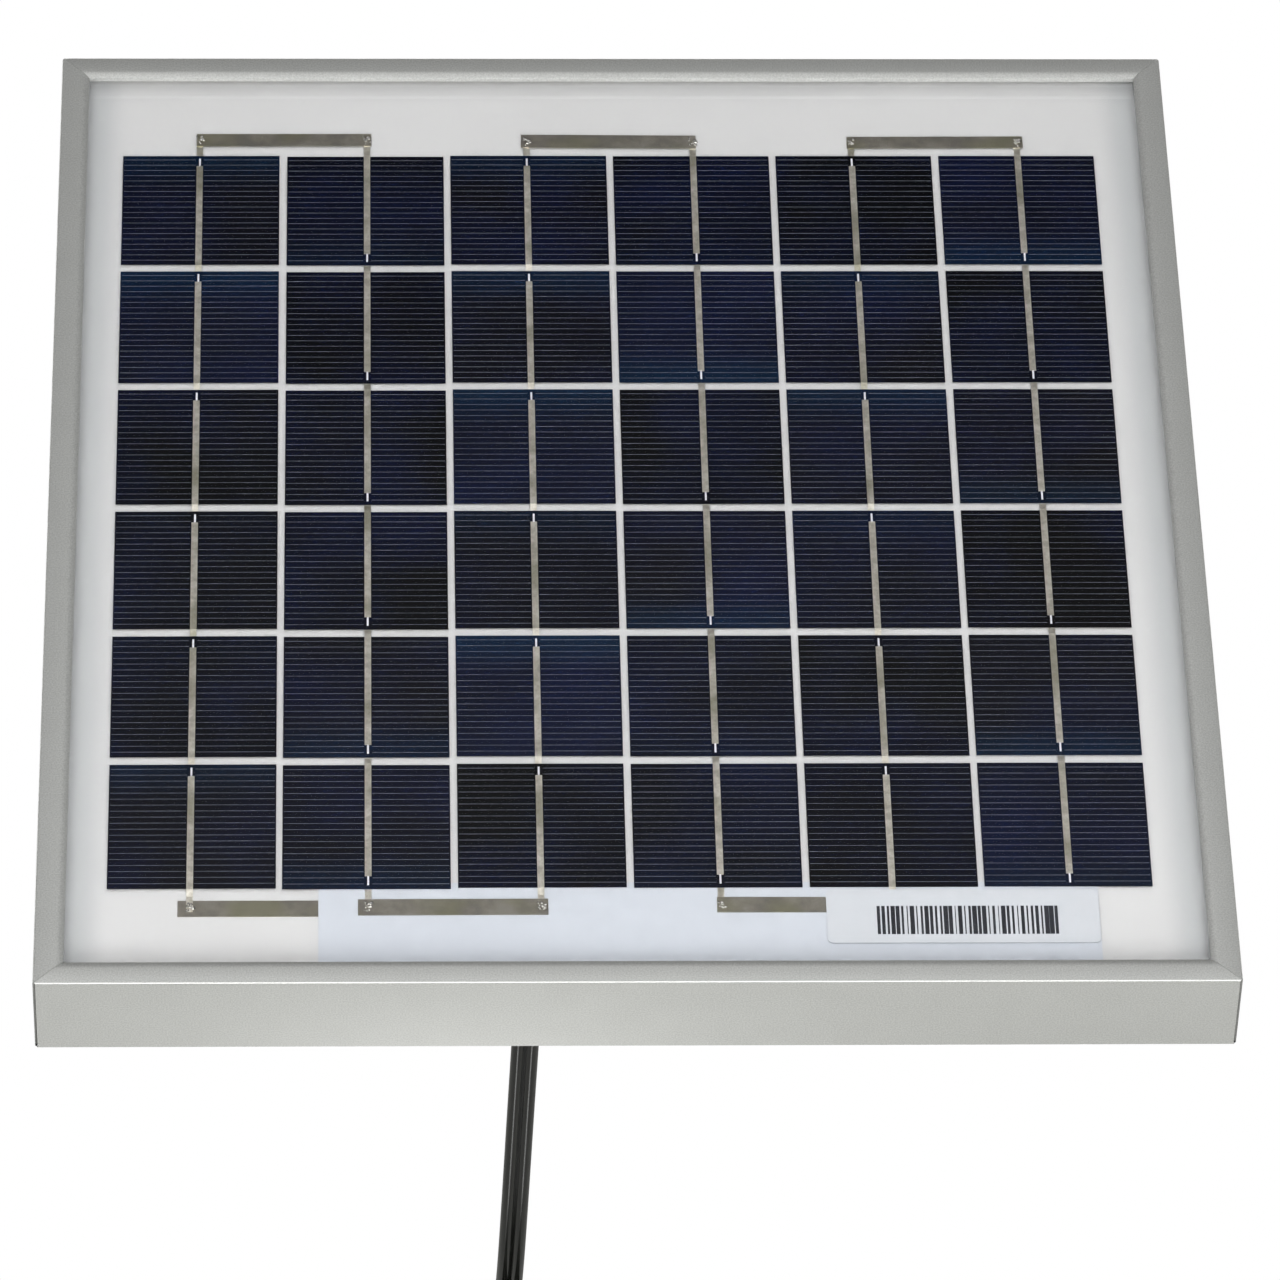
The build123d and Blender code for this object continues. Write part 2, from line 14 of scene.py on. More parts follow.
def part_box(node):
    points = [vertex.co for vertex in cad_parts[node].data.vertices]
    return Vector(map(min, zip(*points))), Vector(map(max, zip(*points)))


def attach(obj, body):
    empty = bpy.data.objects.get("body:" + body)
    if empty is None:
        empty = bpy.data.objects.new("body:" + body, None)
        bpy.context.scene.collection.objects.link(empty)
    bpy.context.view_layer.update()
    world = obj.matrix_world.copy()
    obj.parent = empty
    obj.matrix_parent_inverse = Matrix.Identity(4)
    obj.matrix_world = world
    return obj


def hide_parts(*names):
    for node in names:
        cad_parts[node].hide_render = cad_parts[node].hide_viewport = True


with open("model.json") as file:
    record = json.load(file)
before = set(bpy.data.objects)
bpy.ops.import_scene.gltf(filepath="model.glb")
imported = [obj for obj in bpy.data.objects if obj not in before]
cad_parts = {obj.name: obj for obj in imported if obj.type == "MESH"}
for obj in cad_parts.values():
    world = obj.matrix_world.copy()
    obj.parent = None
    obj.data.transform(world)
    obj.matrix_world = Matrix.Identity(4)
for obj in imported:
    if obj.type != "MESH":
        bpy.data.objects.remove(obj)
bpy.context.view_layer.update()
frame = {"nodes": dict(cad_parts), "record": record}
NODES = frame["nodes"]

# ---- sizes shared with the drawing, in millimetres ----
FRAME_W, FRAME_D, FRAME_H = 222.0, 246.0, 18.0
WALL, LIP_W, LIP_FLAT, LIP_T, LIP_DROP = 1.2, 5.5, 3.7, 1.3, 0.45
CREASE_R, SHELF_W, SHELF_TOP, CHAMBER_W, FLANGE_W = 0.35, 7.4, 10.98, 5.2, 16.0
CORNER_CUT, MITRE_GAP = 0.5, 0.03
HOLE_R, HOLE_INSET, HOLE_PITCH_Y, EARTH_R, EARTH_X = 2.75, 11.5, 140.0, 2.1, 60.0

CELL_W, CELL_D, PITCH_X, PITCH_Y = 31.3, 30.75, 32.66, 32.82
ARRAY_X, ARRAY_Y = -0.9, 1.0
STRING_SHIFT = (0.0, -0.2, 0.1, 0.0, 0.05, 0.1)
STRING_SLANT = (0.12, 0.0, 0.0, 0.0, 0.0, -0.08)
RIBBON_SHIFT = (-0.3, 0.32, -0.3, 0.43, -0.33, 0.3)
CELL_TOP, BUS_TOP, LABEL_TOP = 12.67, 12.67, 12.75
# where each string's ribbon meets its cross ribbon, at the back and at the front
TOP_BUS_Y = (103.1, 103.1, 102.7, 102.7, 102.5, 102.5)
LINK_Y = (-101.0, -101.15, -101.15, -100.75)

CORD_W, CORD_T = 5.2, 2.6
LEAN, BOX_X, LEAD_Z = 0.028, -19.2, 5.7
COIL_X, COIL_Y, COIL_Z, COIL_R = -20.496, -115.0, -137.0, 28.5
LANE_X, LANE_R = 2.7, 1.35


def mm(*values):
    """Millimetres to metres, one number or a vector."""
    return values[0] * 0.001 if len(values) == 1 else Vector(values) * 0.001


# ---- materials ----
def srgb(code):
    """An sRGB hex colour as linear RGBA."""
    channels = [int(code[i:i + 2], 16) / 255 for i in (1, 3, 5)]
    linear = [c / 12.92 if c <= 0.04045 else ((c + 0.055) / 1.055) ** 2.4 for c in channels]
    return (*linear, 1.0)


def add(tree, kind, inputs=None, **settings):
    """Add a node, set its properties, then link or set each named input."""
    node = tree.nodes.new(kind)
    for name, value in settings.items():
        setattr(node, name, value)
    for key, value in (inputs or {}).items():
        if isinstance(value, bpy.types.NodeSocket):
            tree.links.new(value, node.inputs[key])
        else:
            node.inputs[key].default_value = value
    return node


def blank_material(name):
    """A material with nothing but its output."""
    material = bpy.data.materials.new(name)
    material.use_nodes = True
    material.node_tree.nodes.clear()
    return material, material.node_tree


def speckled(name, dark, light, grain, roughness, bump, metallic=0.0, patches=0.35, **extra):
    """A surface whose tone and gloss vary with a grain, its size in millimetres, and with broader patches."""
    material, tree = blank_material(name)
    where = add(tree, "ShaderNodeTexCoord").outputs["Object"]
    speck = add(tree, "ShaderNodeTexNoise", {"Vector": where, "Scale": 1000 / grain, "Detail": 3.0})
    patch = add(tree, "ShaderNodeTexNoise",
                {"Vector": where, "Scale": 1000 / (grain * 22), "Detail": 2.0})
    both = add(tree, "ShaderNodeMix",
               {"Factor": patches, "A": speck.outputs["Fac"], "B": patch.outputs["Fac"]})
    tone = add(tree, "ShaderNodeMapRange", {"Value": both.outputs[0], "From Min": 0.36, "From Max": 0.64})
    colour = add(tree, "ShaderNodeMix", {0: tone.outputs[0], 6: srgb(dark), 7: srgb(light)}, data_type="RGBA")
    gloss = add(tree, "ShaderNodeMapRange",
                {"Value": both.outputs[0], "From Min": 0.3, "From Max": 0.7,
                 "To Min": roughness[0], "To Max": roughness[1]})
    relief = add(tree, "ShaderNodeBump",
                 {"Height": speck.outputs["Fac"], "Strength": 0.5, "Distance": mm(bump)})
    shader = add(tree, "ShaderNodeBsdfPrincipled",
                 {"Base Color": colour.outputs[2], "Roughness": gloss.outputs[0],
                  "Normal": relief.outputs[0], "Metallic": metallic, **extra})
    add(tree, "ShaderNodeOutputMaterial", {"Surface": shader.outputs[0]})
    return material


def tempered_glass():
    """Low-iron float glass: clear and polished, it shows the cells and mirrors the lamps sharply."""
    material, tree = blank_material("tempered_low_iron_glass")
    glass = add(tree, "ShaderNodeBsdfPrincipled",
                {"Base Color": srgb("#fefefe"), "Roughness": 0.0, "IOR": 1.5, "Transmission Weight": 1.0})
    passing = add(tree, "ShaderNodeBsdfTransparent", {"Color": srgb("#f9f9f9")})
    shadow = add(tree, "ShaderNodeLightPath").outputs["Is Shadow Ray"]
    mix = add(tree, "ShaderNodeMixShader", {0: shadow, 1: glass.outputs[0], 2: passing.outputs[0]})
    add(tree, "ShaderNodeOutputMaterial", {"Surface": mix.outputs[0]})
    return material


def clear_encapsulant():
    """Cured EVA film under the glass: index matched, so it is all but unseen."""
    material, tree = blank_material("cured_clear_eva")
    shader = add(tree, "ShaderNodeBsdfPrincipled",
                 {"Base Color": srgb("#2a2c2b"), "Roughness": 0.5, "Alpha": 0.02, "Specular IOR Level": 0.0})
    add(tree, "ShaderNodeOutputMaterial", {"Surface": shader.outputs[0]})
    return material


def white_encapsulant():
    """Cured white EVA round the cells: even and slightly grey, with painted shade making it greyer towards
    the long edges beside the rails.
    """
    material, tree = blank_material("white_cured_eva")
    where = add(tree, "ShaderNodeTexCoord").outputs["Object"]
    axes = add(tree, "ShaderNodeSeparateXYZ", {0: where})
    off_middle = add(tree, "ShaderNodeMath", {0: axes.outputs[0]}, operation="ABSOLUTE")
    # painted shade: the sheet darkens smoothly from 97 mm to 103.5 mm off the middle, where the rails' lips
    # shade it
    painted_edge_shade = add(tree, "ShaderNodeMapRange",
               {"Value": off_middle.outputs[0], "From Min": mm(97.0), "From Max": mm(103.5)},
               interpolation_type="SMOOTHSTEP")
    flow = add(tree, "ShaderNodeTexNoise", {"Vector": where, "Scale": 1000 / 40, "Detail": 2.0})
    middle = add(tree, "ShaderNodeMix",
                 {0: flow.outputs["Fac"], 6: srgb("#cdcdcd"), 7: srgb("#d3d3d3")}, data_type="RGBA")
    # the grey of the painted shade beside the rails, mixed in by the mask above
    colour = add(tree, "ShaderNodeMix",
                 {0: painted_edge_shade.outputs[0], 6: middle.outputs[2], 7: srgb("#babcbd")}, data_type="RGBA")
    gloss = add(tree, "ShaderNodeMapRange", {"Value": flow.outputs["Fac"], "To Min": 0.45, "To Max": 0.55})
    shader = add(tree, "ShaderNodeBsdfPrincipled",
                 {"Base Color": colour.outputs[2], "Roughness": gloss.outputs[0]})
    add(tree, "ShaderNodeOutputMaterial", {"Surface": shader.outputs[0]})
    return material


def silicon_cell():
    """Textured silicon under a nitride coat: near black, its blue drifting from cell to cell and at edges."""
    material, tree = blank_material("nitride_coated_silicon")
    where = add(tree, "ShaderNodeTexCoord").outputs["Object"]
    corner = (mm(ARRAY_X - 3 * PITCH_X), mm(ARRAY_Y - 3 * PITCH_Y), 0.0)
    from_corner = add(tree, "ShaderNodeVectorMath", {0: where, 1: corner}, operation="SUBTRACT")
    pitch = (mm(PITCH_X), mm(PITCH_Y), 1.0)
    in_pitches = add(tree, "ShaderNodeVectorMath",
                     {0: from_corner.outputs[0], 1: pitch}, operation="DIVIDE")
    number = add(tree, "ShaderNodeVectorMath", {0: in_pitches.outputs[0]}, operation="FLOOR")
    inside = add(tree, "ShaderNodeVectorMath", {0: in_pitches.outputs[0]}, operation="FRACTION")
    lot = add(tree, "ShaderNodeTexWhiteNoise", {"Vector": number.outputs[0]})
    tone = add(tree, "ShaderNodeValToRGB", {"Fac": lot.outputs["Value"]})
    stops = ((0.0, "#020205"), (0.3, "#04050a"), (0.5, "#060815"), (0.7, "#080810"), (1.0, "#090e22"))
    for position, code in stops[1:-1]:
        tone.color_ramp.elements.new(position)
    for element, (position, code) in zip(tone.color_ramp.elements, stops):
        element.position, element.color = position, srgb(code)
    drift = add(tree, "ShaderNodeTexNoise",
                {"Vector": where, "W": 0.0, "Scale": 1000 / 26, "Detail": 2.0}, noise_dimensions="4D")
    shift = add(tree, "ShaderNodeMath", {0: lot.outputs["Value"], 1: 40.0}, operation="MULTIPLY")
    tree.links.new(shift.outputs[0], drift.inputs["W"])
    blue = add(tree, "ShaderNodeMapRange",
               {"Value": drift.outputs["Fac"], "From Min": 0.4, "From Max": 0.75, "To Max": 0.45})
    body = add(tree, "ShaderNodeMix",
               {0: blue.outputs[0], 6: tone.outputs[0], 7: srgb("#09143a")}, data_type="RGBA")
    # the coat thins towards the edge where a cell's ribbon begins, back in odd strings and front in even ones
    axes = add(tree, "ShaderNodeSeparateXYZ", {0: inside.outputs[0]})
    centred = add(tree, "ShaderNodeMath", {0: axes.outputs[1], 1: 0.5}, operation="SUBTRACT")
    string = add(tree, "ShaderNodeSeparateXYZ", {0: number.outputs[0]})
    even = add(tree, "ShaderNodeMath", {0: string.outputs[0], 1: 2.0}, operation="FLOORED_MODULO")
    way = add(tree, "ShaderNodeMapRange", {"Value": even.outputs[0], "To Min": 1.0, "To Max": -1.0})
    towards = add(tree, "ShaderNodeMath", {0: centred.outputs[0], 1: way.outputs[0]}, operation="MULTIPLY")
    edge = add(tree, "ShaderNodeMapRange",
               {"Value": towards.outputs[0], "From Min": 0.16, "From Max": 0.48},
               interpolation_type="SMOOTHSTEP")
    strength = add(tree, "ShaderNodeMapRange",
                   {"Value": lot.outputs["Value"], "From Min": 0.35, "From Max": 0.9, "To Max": 0.75})
    teal = add(tree, "ShaderNodeMath", {0: edge.outputs[0], 1: strength.outputs[0]}, operation="MULTIPLY")
    colour = add(tree, "ShaderNodeMix",
                 {0: teal.outputs[0], 6: body.outputs[2], 7: srgb("#081f36")}, data_type="RGBA")
    # the etched pits are a few thousandths of a millimetre; they are drawn 0.12 mm apart so that they show
    pits = add(tree, "ShaderNodeTexNoise", {"Vector": where, "Scale": 1000 / 0.12, "Detail": 1.0})
    relief = add(tree, "ShaderNodeBump",
                 {"Height": pits.outputs["Fac"], "Strength": 0.3, "Distance": mm(0.01)})
    shader = add(tree, "ShaderNodeBsdfPrincipled",
                 {"Base Color": colour.outputs[2], "Roughness": 0.35, "Specular IOR Level": 0.0,
                  "Normal": relief.outputs[0]})
    add(tree, "ShaderNodeOutputMaterial", {"Surface": shader.outputs[0]})
    return material


def tinned_copper(name, dark, mid, light, grain, roughness, bump):
    """Solder-dipped copper ribbon: warm grey, mottled where the solder flowed, olive where flux stayed."""
    material, tree = blank_material(name)
    where = add(tree, "ShaderNodeTexCoord").outputs["Object"]
    flow = add(tree, "ShaderNodeTexNoise", {"Vector": where, "Scale": 1000 / grain, "Detail": 4.0,
                                            "Roughness": 0.6})
    tone = add(tree, "ShaderNodeValToRGB", {"Fac": flow.outputs["Fac"]})
    tone.color_ramp.elements.new(0.5)
    stops = ((0.36, dark), (0.5, mid), (0.64, light))
    for element, (position, code) in zip(tone.color_ramp.elements, stops):
        element.position, element.color = position, srgb(code)
    flux = add(tree, "ShaderNodeTexNoise", {"Vector": where, "Scale": 1000 / 9, "Detail": 1.0})
    olive = add(tree, "ShaderNodeMapRange",
                {"Value": flux.outputs["Fac"], "From Min": 0.5, "From Max": 0.68, "To Max": 0.55})
    colour = add(tree, "ShaderNodeMix",
                 {0: olive.outputs[0], 6: tone.outputs[0], 7: srgb("#8c8a6c")}, data_type="RGBA")
    relief = add(tree, "ShaderNodeBump",
                 {"Height": flow.outputs["Fac"], "Strength": 0.35, "Distance": mm(bump)})
    shader = add(tree, "ShaderNodeBsdfPrincipled",
                 {"Base Color": colour.outputs[2], "Metallic": 0.75, "Roughness": roughness,
                  "Normal": relief.outputs[0]})
    add(tree, "ShaderNodeOutputMaterial", {"Surface": shader.outputs[0]})
    return material


FINISH = {
    # extruded, etched and clear anodised: a soft grey sheen with a sandy grain, drawn coarser than the etch
    "anodised_rail": speckled("satin_anodised_aluminium", "#c4c5c2", "#d9dad7", 0.3, (0.38, 0.46), 0.01,
                              metallic=0.5, patches=0.08),
    # sawn extrusion left bare: brighter and more streaked than the rails
    "mill_aluminium": speckled("mill_finish_aluminium", "#b9babb", "#d2d3d3", 0.8, (0.3, 0.45), 0.02,
                               metallic=0.9),
    "tempered_glass": tempered_glass(),
    "clear_eva": clear_encapsulant(),
    "rear_eva": white_encapsulant(),
    # PET laminate film: white and satin, with the faint orange peel of the hot press
    "white_backsheet": speckled("laminated_pet_film", "#dedfdf", "#e9eaea", 1.2, (0.35, 0.5), 0.05),
    # neutral-cure silicone squeezed round the glass
    "seal_silicone": speckled("translucent_silicone", "#cfcfc8", "#dcdcd6", 1.0, (0.4, 0.6), 0.08),
    "silicon_cell": silicon_cell(),
    "tinned_ribbon": tinned_copper("tinned_cell_ribbon", "#cbc6b9", "#e0dbce", "#f0ece2", 1.5, 0.3, 0.02),
    "tinned_bus": tinned_copper("tinned_cross_ribbon", "#86817a", "#938e84", "#a09b91", 5.0, 0.4, 0.02),
    # polyester insulation strip: bluish white
    "strip_film": speckled("polyester_strip", "#c5cad2", "#c9ced6", 3.0, (0.35, 0.45), 0.005),
    # coated label paper: the whitest thing on the sheet
    "label_film": speckled("coated_label_stock", "#c6cacf", "#cacdd2", 3.0, (0.3, 0.4), 0.005),
    # injection-moulded ABS with a spark-eroded skin
    "box_plastic": speckled("spark_textured_abs", "#17181a", "#212224", 0.35, (0.42, 0.6), 0.04),
    # closed-cell acrylic foam tape
    "foam_pad": speckled("closed_cell_foam", "#c9c9c4", "#dcdcd8", 0.5, (0.75, 0.9), 0.12),
    # cast silicone cord: mid grey and matt
    "gasket_rubber": speckled("silicone_gasket", "#4b4c4e", "#5a5b5d", 0.6, (0.55, 0.7), 0.03),
    # drawn steel wire: bright along its length
    "steel_pin": speckled("drawn_steel_pin", "#9a9a98", "#b8b8b6", 0.3, (0.2, 0.35), 0.01, metallic=1.0),
    # brass sheet, blanked and bent: yellow with a soft shine
    "brass_plate": speckled("pressed_brass", "#b99a54", "#d1b56c", 0.9, (0.22, 0.38), 0.01, metallic=1.0),
    # turned steel under clear zinc: a cool shine
    "screw_steel": speckled("zinc_plated_steel", "#a9adb1", "#c6cacc", 0.5, (0.22, 0.36), 0.01, metallic=1.0),
    # transfer-moulded epoxy: black and half glossy
    "diode_epoxy": speckled("moulded_epoxy", "#141415", "#1e1e20", 0.3, (0.3, 0.45), 0.01),
    # fine bare strands, twisted: red metal that glints
    "bare_wire": speckled("bare_copper_strand", "#b27350", "#d0946e", 0.35, (0.25, 0.4), 0.02, metallic=1.0),
    # extruded PVC round each core: smooth, one black and one red
    "core_black": speckled("black_core_pvc", "#121212", "#1b1b1b", 0.8, (0.3, 0.4), 0.01),
    "core_red": speckled("red_core_pvc", "#8f1512", "#a81d18", 0.8, (0.3, 0.4), 0.01),
    # moulded rubber grommet: matt with a dusty bloom
    "bush_rubber": speckled("moulded_rubber", "#151515", "#222221", 0.6, (0.5, 0.65), 0.03),
    # extruded PVC jacket: black with a wet-looking gloss
    "lead_pvc": speckled("extruded_pvc_jacket", "#141513", "#1c1d1a", 1.4, (0.16, 0.24), 0.015,
                         **{"Specular IOR Level": 0.4}),
    # injection-moulded nylon: black with a waxy shine
    "tie_nylon": speckled("moulded_nylon", "#18191a", "#232425", 0.5, (0.35, 0.5), 0.02),
    # soft PVC moulded over the contacts: black and satin
    "plug_mould": speckled("moulded_soft_pvc", "#161616", "#202020", 0.4, (0.4, 0.55), 0.03),
    # turned brass under bright nickel: a warm mirror
    "plug_nickel": speckled("nickel_plated_brass", "#c4c0b4", "#d8d5cb", 0.6, (0.12, 0.22), 0.01,
                            metallic=1.0),
    # moulded PBT at the plug's tip: black and matt
    "plug_insert": speckled("moulded_pbt", "#1b1b1c", "#262627", 0.4, (0.4, 0.5), 0.02),
    # silver paste, screen printed and fired: pale grey and matt
    "silver_print": speckled("fired_silver_paste", "#4c505b", "#7e838f", 0.7, (0.5, 0.7), 0.02, metallic=0.3),
    # the same paste where the busbar is printed thick and left bare: nearly white
    "silver_bare": speckled("thick_silver_paste", "#dcdce4", "#ebebf2", 0.5, (0.4, 0.5), 0.02, metallic=0.2),
    # fresh solder: bright, small domes
    "solder": speckled("bright_solder", "#b4b2ac", "#f0efea", 0.4, (0.12, 0.25), 0.03, metallic=0.9),
    # ink from a thermal ribbon: flat black
    "label_ink": speckled("thermal_print", "#14171f", "#1d212b", 0.4, (0.5, 0.6), 0.005),
}


# ---- making pieces ----
def link_piece(name, mesh, slot, body="panel"):
    """Put a finished mesh in the scene on its body."""
    if not mesh.materials:
        mesh.materials.append(FINISH[slot])
    piece = bpy.data.objects.new(name, mesh)
    bpy.context.scene.collection.objects.link(piece)
    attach(piece, body)
    return piece


def evaluated_mesh(piece):
    """What a piece's modifiers make of it, as a plain mesh."""
    depsgraph = bpy.context.evaluated_depsgraph_get()
    return bpy.data.meshes.new_from_object(piece.evaluated_get(depsgraph), depsgraph=depsgraph)


def broken_edges(piece, width, segments, degrees):
    """Bevel every edge sharper than the angle."""
    edge = piece.modifiers.new("broken edges", "BEVEL")
    edge.width, edge.segments = mm(width), segments
    edge.limit_method, edge.angle_limit = "ANGLE", math.radians(degrees)


def smooth_by_angle(mesh, degrees):
    """Shade smooth, but keep edges sharper than the angle crisp."""
    shape = bmesh.new()
    shape.from_mesh(mesh)
    for face in shape.faces:
        face.smooth = True
    for edge in shape.edges:
        edge.smooth = edge.calc_face_angle(0.0) < math.radians(degrees)
    shape.to_mesh(mesh)
    shape.free()


# ---- frame rails ----
def arc(centre, radius, start, end, steps):
    """Points of an arc in the (u, v) plane, angles in degrees."""
    angles = [math.radians(start + (end - start) * i / steps) for i in range(steps + 1)]
    return [(centre[0] + radius * math.cos(a), centre[1] + radius * math.sin(a)) for a in angles]


def rail_profile():
    """Outer loop of the rail's section as (u, v), with u inwards from the outer face."""
    run, drop = LIP_W - LIP_FLAT, LIP_DROP
    nose_r = (run * run + drop * drop) / (2 * drop)
    nose_angle = math.degrees(math.asin(run / nose_r))
    nose = arc((LIP_FLAT, FRAME_H - nose_r), nose_r, 90, 90 - nose_angle, 10)
    crease = arc((CREASE_R, FRAME_H - CREASE_R), CREASE_R, 180, 90, 6)
    under = FRAME_H - LIP_T
    steps = [(LIP_W, under), (WALL, under), (WALL, SHELF_TOP), (SHELF_W, SHELF_TOP), (SHELF_W, WALL),
             (FLANGE_W, WALL), (FLANGE_W, 0.0), (CORNER_CUT / 2, 0.0), (0.0, 0.0)]
    return crease + nose + steps


def chamber_profile():
    """Loop of the hollow that takes the corner key."""
    low, high = WALL, SHELF_TOP - WALL
    return [(WALL, low), (WALL, high), (WALL + CHAMBER_W, high), (WALL + CHAMBER_W, low)]


def mitre_reach(half, u):
    """How far along the rail a line at depth u runs before the mitre or the filed corner."""
    if u < CORNER_CUT / 2:
        return half - CORNER_CUT + u * (CORNER_CUT / 2 - MITRE_GAP) / (CORNER_CUT / 2)
    return half - u - MITRE_GAP


def rail_mesh(name, length, place):
    """A rail along X with its outer face on y = 0, then put in its place."""
    shape = bmesh.new()
    caps = {-1: [], 1: []}
    for loop in (rail_profile(), chamber_profile()):
        ends = {
            side: [shape.verts.new(mm(side * mitre_reach(length / 2, u), u, v)) for u, v in loop]
            for side in (-1, 1)
        }
        for i in range(len(loop)):
            j = (i + 1) % len(loop)
            shape.faces.new((ends[-1][i], ends[-1][j], ends[1][j], ends[1][i]))
        for side in (-1, 1):
            caps[side] += [shape.edges.get((ends[side][i], ends[side][(i + 1) % len(loop)]))
                           for i in range(len(loop))]
    for side in (-1, 1):
        bmesh.ops.triangle_fill(shape, edges=caps[side], use_dissolve=False)
    bmesh.ops.recalc_face_normals(shape, faces=shape.faces)
    shape.transform(place)
    mesh = bpy.data.meshes.new(name)
    shape.to_mesh(mesh)
    shape.free()
    return mesh


def drilled(mesh, holes):
    """The mesh with upright holes cut through its flange, each (x, y, radius) in millimetres."""
    piece = bpy.data.objects.new("blank", mesh)
    bpy.context.scene.collection.objects.link(piece)
    drills = []
    for x, y, radius in holes:
        shape = bmesh.new()
        bmesh.ops.create_cone(shape, cap_ends=True, segments=40, radius1=mm(radius), radius2=mm(radius),
                              depth=mm(6), matrix=Matrix.Translation(mm(x, y, 0.0)))
        drill = bpy.data.objects.new("drill", bpy.data.meshes.new("drill"))
        shape.to_mesh(drill.data)
        shape.free()
        bpy.context.scene.collection.objects.link(drill)
        cut = piece.modifiers.new("cut", "BOOLEAN")
        cut.object, cut.operation, cut.solver = drill, "DIFFERENCE", "EXACT"
        drills.append(drill)
    broken_edges(piece, 0.1, 2, 40)
    result = evaluated_mesh(piece)
    for spare in (piece, *drills):
        bpy.data.objects.remove(spare)
    return result


def make_rails():
    """Four mitred rails, each on its own side, with the mounting holes and the earthing hole."""
    half_w, half_d = mm(FRAME_W / 2), mm(FRAME_D / 2)
    side_holes = [HOLE_PITCH_Y / 2, -HOLE_PITCH_Y / 2]
    reach = FRAME_W / 2 - HOLE_INSET
    rails = {
        "front": (FRAME_W, (0, -half_d), 0, []),
        "back": (FRAME_W, (0, half_d), 180, [(EARTH_X, FRAME_D / 2 - HOLE_INSET, EARTH_R)]),
        "left": (FRAME_D, (-half_w, 0), -90, [(-reach, y, HOLE_R) for y in side_holes]),
        "right": (FRAME_D, (half_w, 0), 90, [(reach, y, HOLE_R) for y in side_holes]),
    }
    for side, (length, (x, y), turn, holes) in rails.items():
        place = Matrix.Translation((x, y, 0)) @ Matrix.Rotation(math.radians(turn), 4, "Z")
        mesh = drilled(rail_mesh(f"{side}_rail", length, place), holes)
        smooth_by_angle(mesh, 30)
        piece = link_piece(f"{side}_rail", mesh, "anodised_rail")
        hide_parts(f"frame_rail_{side}")


make_rails()


# ---- carried-over CAD nodes get their finish ----
SLOT_OF = {part["node"]: part["material_slot"] for part in frame["record"]["subparts"]}
BODY_OF = {node: body for body, nodes in frame["record"]["behaviour"]["bodies"].items() for node in nodes}
for node, piece in NODES.items():
    for holder in piece.material_slots:
        holder.material = FINISH[SLOT_OF[node]]


# ---- moulded pieces with broken edges ----
def welded(node):
    """A CAD node's mesh with its triangles joined into flat faces."""
    shape = bmesh.new()
    shape.from_mesh(NODES[node].data)
    bmesh.ops.remove_doubles(shape, verts=shape.verts, dist=1e-6)
    bmesh.ops.dissolve_limit(shape, angle_limit=math.radians(1), verts=shape.verts, edges=shape.edges)
    return shape


def moulded(name, node, shape, edge_radius):
    """A moulding that stands for a CAD node, its edges rounded as a mould leaves them."""
    mesh = bpy.data.meshes.new(name)
    shape.to_mesh(mesh)
    shape.free()
    piece = bpy.data.objects.new(name, mesh)
    bpy.context.scene.collection.objects.link(piece)
    broken_edges(piece, edge_radius, 3, 35)
    result = evaluated_mesh(piece)
    bpy.data.objects.remove(piece)
    smooth_by_angle(result, 40)
    result.materials.clear()
    moulding = link_piece(name, result, SLOT_OF[node], BODY_OF[node])
    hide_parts(node)
    return moulding


for name, node, radius in (("box_base_moulding", "junction_box_base", 0.3),
                           ("box_lid_moulding", "junction_box_lid", 0.3),
                           ("bush_moulding", "lead_bush", 0.35)):
    moulded(name, node, welded(node), radius)


# ---- clear film under the glass ----
def box_mesh(name, low, high):
    """A closed box between two corners."""
    shape = bmesh.new()
    size, middle = high - low, (high + low) / 2
    bmesh.ops.create_cube(shape, size=1.0, matrix=Matrix.Translation(middle) @ Matrix.Diagonal((*size, 1.0)))
    mesh = bpy.data.meshes.new(name)
    shape.to_mesh(mesh)
    shape.free()
    return mesh


def make_front_film():
    """The clear film, kept off the glass and the ribbons so that no two faces share a plane."""
    low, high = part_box("eva_front")
    clear = mm(0, 0, 0.03)
    film = link_piece("front_film", box_mesh("front_film", low + clear, high - clear), "clear_eva")
    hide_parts("eva_front")


make_front_film()


# ---- Geometry Nodes: printed grid, solder, label bars ----
def new_growth(name, inputs):
    """An empty Geometry Nodes tree with the named inputs, and the sockets of its group input."""
    tree = bpy.data.node_groups.new(name, "GeometryNodeTree")
    tree.interface.new_socket("Geometry", in_out="INPUT", socket_type="NodeSocketGeometry")
    for label, kind in inputs.items():
        tree.interface.new_socket(label, in_out="INPUT", socket_type=kind)
    tree.interface.new_socket("Geometry", in_out="OUTPUT", socket_type="NodeSocketGeometry")
    return tree, add(tree, "NodeGroupInput").outputs


def close_growth(tree, geometry, material):
    """End a tree in Realize Instances and Set Material."""
    real = add(tree, "GeometryNodeRealizeInstances", {0: geometry})
    painted = add(tree, "GeometryNodeSetMaterial", {"Geometry": real.outputs[0], "Material": material})
    add(tree, "NodeGroupOutput", {0: painted.outputs[0]})


def grow(name, tree, places, sizes, slot):
    """Run a tree on points, keep its result as a plain mesh, and put that in the scene."""
    points = bpy.data.meshes.new(name + "_points")
    points.from_pydata([tuple(p) for p in places], [], [])
    holder = bpy.data.objects.new(name + "_points", points)
    bpy.context.scene.collection.objects.link(holder)
    modifier = holder.modifiers.new("growth", "NODES")
    modifier.node_group = tree
    for item in tree.interface.items_tree:
        if item.in_out == "INPUT" and item.name in sizes:
            modifier[item.identifier] = sizes[item.name]
    mesh = evaluated_mesh(holder)
    bpy.data.objects.remove(holder)
    mesh.name = name
    return link_piece(name, mesh, slot)


